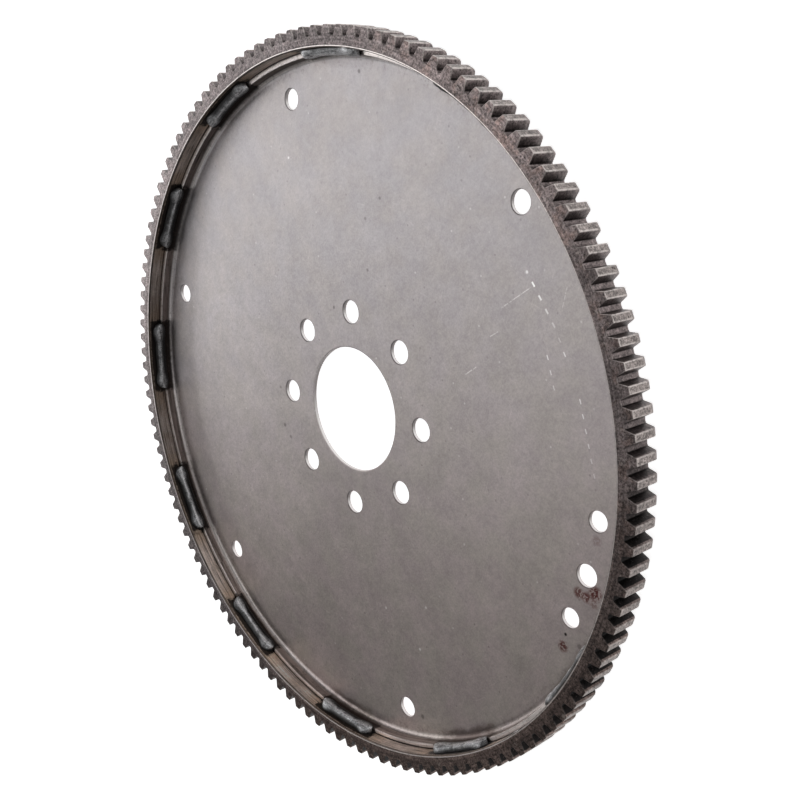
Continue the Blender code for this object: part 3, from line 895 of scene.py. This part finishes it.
def gear_colour_and_painted_light(g, front, blot):
    """The ring's own dark steel, browner toward +X, darker toward -Y by painted shade, and painted
    light and shade by side.
    """
    colour = g.mix(g.step(blot, 0.36, 0.64), (0.205, 0.173, 0.172), (0.163, 0.142, 0.141))
    right_side = g.step(g.add(g.x, g.multiply(g.y, -0.25)), 0.10, 0.17)
    brown = g.step(g.noise(9 * MM, 3.0, 0.7), 0.46, 0.62)
    brown = g.multiply(brown, front, right_side, 0.40)
    colour = g.mix(g.multiply(right_side, 0.5), colour, (0.190, 0.150, 0.144))
    colour = g.mix(brown, colour, (0.205, 0.132, 0.110))
    # Painted shade toward -Y, also browner
    shaded_low_side = g.step(g.add(g.multiply(g.x, -0.25), g.multiply(g.y, -0.97)), 0.06, 0.17)
    colour = g.mix(g.multiply(shaded_low_side, 0.85), colour, (0.142, 0.102, 0.088))
    # Painted light and shade on the front face, by direction
    for degrees, start, full, share in FACE_PAINTED_SHEEN:
        side = g.multiply(g.by_side(degrees, start, full), front)
        colour = g.shade(colour, side, share)
    return colour


def tooth_gap_shade(g, colour, radius, facing_up, shaded_side):
    """Tooth gaps in painted shade, darkest toward the root and on some sides, and lands that are
    rubbed lighter.
    """
    upright = g.step(facing_up, 0.8, 0.5)
    land = g.step(radius, TIP_RADIUS - 0.5 * MM, TIP_RADIUS - 0.15 * MM)
    land = g.multiply(land, g.step(facing_up, 0.5, 0.3))
    colour = g.mix(g.multiply(land, 0.8), colour, (0.275, 0.242, 0.228))

    # Painted shade on the flanks, darkest toward the root
    gap = g.between(radius, ROOT_RADIUS + 0.25 * MM, ROOT_RADIUS + 1.0 * MM, 0.5 * MM)
    gap = g.most(gap, g.multiply(g.step(radius, TIP_RADIUS, ROOT_RADIUS + 0.8 * MM), 0.6))
    off_floor = g.step(radius, ROOT_RADIUS + 0.02 * MM, ROOT_RADIUS + 0.3 * MM)
    colour = g.mix(g.multiply(gap, upright, off_floor, 0.9), colour, (0.028, 0.022, 0.021))

    # Painted shade on the root floors toward 345°
    gap_floor = g.between(radius, ROOT_RADIUS - 0.1 * MM, ROOT_RADIUS + 0.6 * MM, 0.3 * MM)
    gap_floor = g.multiply(gap_floor, upright, g.by_side(165, -0.75, -0.45), 0.65)
    colour = g.mix(gap_floor, colour, (0.03, 0.026, 0.025))

    # Painted shade all down the gaps toward 252°
    shaded_gap = g.between(radius, ROOT_RADIUS - 0.1 * MM, TIP_RADIUS - 1.4 * MM, 0.3 * MM)
    return g.mix(g.multiply(shaded_gap, shaded_side, upright), colour, (0.006, 0.004, 0.004))


def gear_bore(g, colour, bore, fine, grain, scored):
    """The turned bore: golden brown with dark scores, black round the welds, with painted light and
    shade by side.
    """
    hue = g.step(g.noise(14 * MM, 3.0, 0.6), 0.38, 0.62)
    bore_colour = g.mix(hue, (0.60, 0.51, 0.46), (0.50, 0.415, 0.36))
    tempered = g.weld_heat(2 * MM, 14 * MM, 3 * MM)
    bore_colour = g.mix(g.multiply(tempered, 0.6), bore_colour, (0.46, 0.335, 0.235))
    # Painted shade toward 135° and painted light toward 212°, for the sheen of the turned bore
    bore_colour = g.shade(bore_colour, g.by_side(135, 0.7, 0.93), -0.4)
    bore_colour = g.shade(bore_colour, g.by_side(212, 0.88, 0.98), 0.6)
    bore_colour = g.vary(bore_colour, scored, 0.55)
    bore_colour = g.vary(bore_colour, fine, 0.2)
    scores = g.step(scored, 0.38, 0.30)
    bore_colour = g.mix(g.multiply(scores, 0.7), bore_colour, (0.07, 0.05, 0.045))
    seam = g.step(g.z, FLANGE_TOP_Z + 0.6 * MM, FLANGE_TOP_Z + 0.1 * MM)
    bore_colour = g.mix(g.multiply(seam, 0.8), bore_colour, (0.04, 0.03, 0.028))
    colour = g.mix(bore, colour, bore_colour)

    burnt = g.multiply(g.weld_heat(0.5 * MM, 3 * MM, 2.5 * MM), bore)
    burnt_height = g.add(g.z, g.multiply(grain, 2 * MM))
    burnt = g.multiply(burnt, g.step(burnt_height, RING_FRONT_Z + 0.4 * MM, RING_FRONT_Z - 1.2 * MM))
    return colour, burnt


def bore_mouth(g, colour, radius, grain):
    """A dark band under the bore's front corner, with a fine broken painted highlight below it."""
    mouth = g.step(radius, RING_BORE_RADIUS + 0.55 * MM, RING_BORE_RADIUS + 0.45 * MM)
    dark_band = g.multiply(mouth, g.step(g.z, RING_FRONT_Z - 1.25 * MM, RING_FRONT_Z - 1.05 * MM))
    colour = g.mix(g.multiply(dark_band, 0.75), colour, (0.035, 0.028, 0.026))
    # A painted highlight, strongest toward 235°
    line = g.multiply(
        mouth,
        g.between(g.z, RING_FRONT_Z - 1.45 * MM, RING_FRONT_Z - 1.35 * MM, 0.15 * MM),
        g.step(grain, 0.38, 0.55),
        g.ramp(g.by_side(235, 0.7, 0.9), 0.35, 0.85),
    )
    return g.mix(line, colour, (0.80, 0.72, 0.68))


def worn_edges(g, colour, radius, grain, shaded_side):
    """Edges rubbed to bare metal, dimmed on the side in painted shade, and the bore's polished front
    corner with a painted highlight.
    """
    wear = g.multiply(
        g.attribute("edge"),
        g.ramp(g.step(grain, 0.36, 0.56), 0.25, 0.75),
        g.ramp(shaded_side, 1.0, 0.2),
    )
    colour = g.mix(wear, colour, (0.70, 0.64, 0.61))
    # Polish with a painted highlight, brightest toward 75°
    corner = RING_BORE_RADIUS + RING_FRONT_CHAMFER
    polish_and_highlight = g.multiply(
        g.between(radius, corner - 0.05 * MM, corner + 0.34 * MM, 0.1 * MM),
        g.step(g.z, RING_FRONT_Z - 0.3 * MM, RING_FRONT_Z - 0.2 * MM),
        g.ramp(g.by_side(75, -0.2, 0.6), 0.4, 1.0),
        g.ramp(g.step(grain, 0.3, 0.5), 0.6, 1.0),
    )
    return g.mix(polish_and_highlight, colour, (0.97, 0.90, 0.87))


def gear_steel():
    """Turned and hobbed steel gone dark: mottled faces with painted light and shade, light edges, gaps
    in painted shade, a brown bore.
    """
    g = Graph("gear_steel_finish")
    radius = g.radius()
    facing_up = g.facing()[2]
    front = g.step(facing_up, 0.8, 0.95)
    bore = g.step(radius, RING_BORE_RADIUS + 0.3 * MM, RING_BORE_RADIUS + 0.1 * MM)
    # Toward 252° the tooth gaps get painted shade and the worn edges are dimmed
    shaded_side = g.by_side(252, 0.1, 0.6)
    fine = g.noise(1.0 * MM, 2.0, 0.7)
    grain = g.noise(2.2 * MM, 3.0, 0.7)
    blot = g.noise(6 * MM, 3.0, 0.65)
    cloud = g.noise(26 * MM, 3.0, 0.6)
    turned = g.noise(0.9 * MM, 2.0, 0.6, g.round_place(1.0, 0.04))
    scored = g.noise(0.8 * MM, 2.0, 0.6, g.round_place(0.3, 0.04))
    pits = g.step(g.noise(1.5 * MM, 2.0, 0.6), 0.62, 0.70)

    colour = gear_colour_and_painted_light(g, front, blot)
    colour = tooth_gap_shade(g, colour, radius, facing_up, shaded_side)
    for pattern, amount in ((fine, 0.85), (grain, 0.50), (blot, 0.28), (cloud, 0.22)):
        colour = g.vary(colour, pattern, amount)
    colour = g.mix(front, colour, g.vary(colour, turned, 0.45))
    colour = g.mix(g.multiply(pits, 0.7), colour, (0.04, 0.03, 0.028))
    rubbed = g.multiply(g.step(g.noise(5 * MM, 3.0, 0.7), 0.62, 0.72), front)
    colour = g.mix(g.multiply(rubbed, 0.35), colour, (0.48, 0.42, 0.38))
    colour, burnt = gear_bore(g, colour, bore, fine, grain, scored)
    colour = bore_mouth(g, colour, radius, grain)
    colour = g.mix(g.multiply(burnt, 0.95), colour, SOOT_COLOUR)
    colour = worn_edges(g, colour, radius, grain, shaded_side)

    roughness = g.math("MULTIPLY_ADD", grain, 0.25, 0.32)
    height = g.add(g.multiply(fine, 0.7), g.multiply(grain, 1.3))
    height = g.math("MULTIPLY_ADD", g.multiply(turned, front), 1.2, height)
    height = g.math("MULTIPLY_ADD", g.multiply(scored, bore), 3.0, height)
    height = g.math("MULTIPLY_ADD", pits, -0.8, height)
    return g.finish(colour, roughness, 0.85, height, 0.45)


def weld_metal():
    """A burnt bead: a rippled ridge lighter than its black sides, partly painted light and shade, with
    painted glints and crest highlight.
    """
    g = Graph("weld_metal_finish")
    ridge_tone_and_light = g.attribute("ridge_tone_and_light")
    ridge = g.attribute("edge")
    fine = g.noise(0.7 * MM, 2.0, 0.7)
    grain = g.noise(1.4 * MM, 3.0, 0.7)
    blot = g.noise(4 * MM, 3.0, 0.6)
    streaks = g.noise(0.8 * MM, 2.0, 0.6, g.round_place(1.0, 0.12))

    # The ridge lighter than the black sides, partly painted light
    ridge_colour = g.tint((0.56, 0.56, 0.575), ridge_tone_and_light)
    ridge_colour = g.vary(ridge_colour, streaks, 0.55)
    ridge_colour = g.vary(ridge_colour, grain, 0.45)
    shown = g.multiply(ridge, g.ramp(g.step(blot, 0.32, 0.52), 0.45, 1.0))
    colour = g.mix(shown, (0.014, 0.013, 0.013), ridge_colour)
    # Painted glints on the ridge
    glints = g.step(g.noise(2.2 * MM, 2.0, 0.6), 0.60, 0.68)
    glints = g.multiply(glints, ridge, ridge_tone_and_light)
    colour = g.mix(g.math("MULTIPLY", glints, 0.7, clamp=True), colour, (0.88, 0.88, 0.89))
    # A painted highlight along the crest
    crest = g.multiply(g.step(ridge, 0.72, 0.98), g.step(streaks, 0.40, 0.58))
    crest = g.math("MULTIPLY", crest, g.multiply(ridge_tone_and_light, 0.6), clamp=True)
    colour = g.mix(crest, colour, (0.92, 0.91, 0.92))
    colour = g.vary(colour, fine, 0.3)

    roughness = g.math("MULTIPLY_ADD", grain, 0.3, 0.24)
    height = g.add(fine, g.add(grain, streaks))
    return g.finish(colour, roughness, 0.55, height, 0.4)


# Floor, lights and camera

def make_floor():
    """A pale floor, white to the camera and in reflections, that still takes a shadow."""
    size = FLOOR_HALF_SIZE
    mesh = bpy.data.meshes.new("floor")
    corners = [(-size, -size, 0), (size, -size, 0), (size, size, 0), (-size, size, 0)]
    mesh.from_pydata(corners, [], [(0, 1, 2, 3)])
    floor = bpy.data.objects.new("floor", mesh)
    bpy.context.scene.collection.objects.link(floor)
    floor.location.z = FLOOR_LEVEL
    g = Graph("floor_white")
    g.put(g.shader.inputs["Base Color"], (*FLOOR_COLOUR, 1.0))
    g.put(g.shader.inputs["Roughness"], 0.9)
    rays = g.nodes.new("ShaderNodeLightPath").outputs
    seen = g.most(rays["Is Glossy Ray"], rays["Is Transmission Ray"])
    seen = g.most(rays["Is Camera Ray"], seen)
    glow = g.nodes.new("ShaderNodeEmission")
    g.put(glow.inputs["Strength"], g.multiply(seen, FLOOR_GLOW))
    both = g.nodes.new("ShaderNodeAddShader")
    g.put(both.inputs[0], g.shader.outputs[0])
    g.put(both.inputs[1], glow.outputs[0])
    g.put(g.nodes["Material Output"].inputs["Surface"], both.outputs[0])
    mesh.materials.append(g.material)


def make_world():
    """White to the camera, and a faint grey light on the part."""
    world = bpy.data.worlds.new("studio")
    bpy.context.scene.world = world
    world.use_nodes = True
    nodes, links = world.node_tree.nodes, world.node_tree.links
    room = nodes["Background"]
    room.inputs["Color"].default_value = (1.0, 1.0, 1.0, 1.0)
    path = nodes.new("ShaderNodeLightPath")
    strength = nodes.new("ShaderNodeMapRange")
    strength.inputs["To Min"].default_value = WORLD_LEVEL
    strength.inputs["To Max"].default_value = 1.0
    links.new(path.outputs["Is Camera Ray"], strength.inputs["Value"])
    links.new(strength.outputs["Result"], room.inputs["Strength"])


def make_lamp(name, azimuth, elevation, power):
    """A square soft light in a direction from the part, facing it."""
    across = math.cos(math.radians(elevation))
    direction = Vector((
        across * math.cos(math.radians(azimuth)),
        across * math.sin(math.radians(azimuth)),
        math.sin(math.radians(elevation)),
    ))
    data = bpy.data.lights.new(name, "AREA")
    data.shape = "SQUARE"
    data.size = LAMP_SIZE
    data.energy = power
    lamp = bpy.data.objects.new(name, data)
    bpy.context.scene.collection.objects.link(lamp)
    lamp.location = direction * LAMP_DISTANCE
    lamp.rotation_mode = "QUATERNION"
    lamp.rotation_quaternion = direction.to_track_quat("Z", "Y")


def make_camera():
    forward = Vector(CAMERA_FORWARD).normalized()
    right = Vector(CAMERA_RIGHT).normalized()
    up = right.cross(forward)
    data = bpy.data.cameras.new("camera")
    data.lens = CAMERA_LENS
    data.sensor_width = CAMERA_SENSOR
    camera = bpy.data.objects.new("camera", data)
    bpy.context.scene.collection.objects.link(camera)
    turn = Matrix((right, up, -forward)).transposed()
    camera.matrix_world = Matrix.Translation(Vector(CAMERA_PLACE)) @ turn.to_4x4()
    bpy.context.scene.camera = camera


make_camera()
make_disc(sheet_steel())
make_ring_gear(gear_steel())
bead_material = weld_metal()
for weld_number in range(1, WELD_COUNT + 1):
    make_weld(weld_number, *WELD_LOOKS[weld_number - 1], bead_material)
make_floor()
make_world()
for softbox in SOFTBOXES:
    make_lamp(*softbox)
bpy.context.scene.view_settings.view_transform = "Standard"
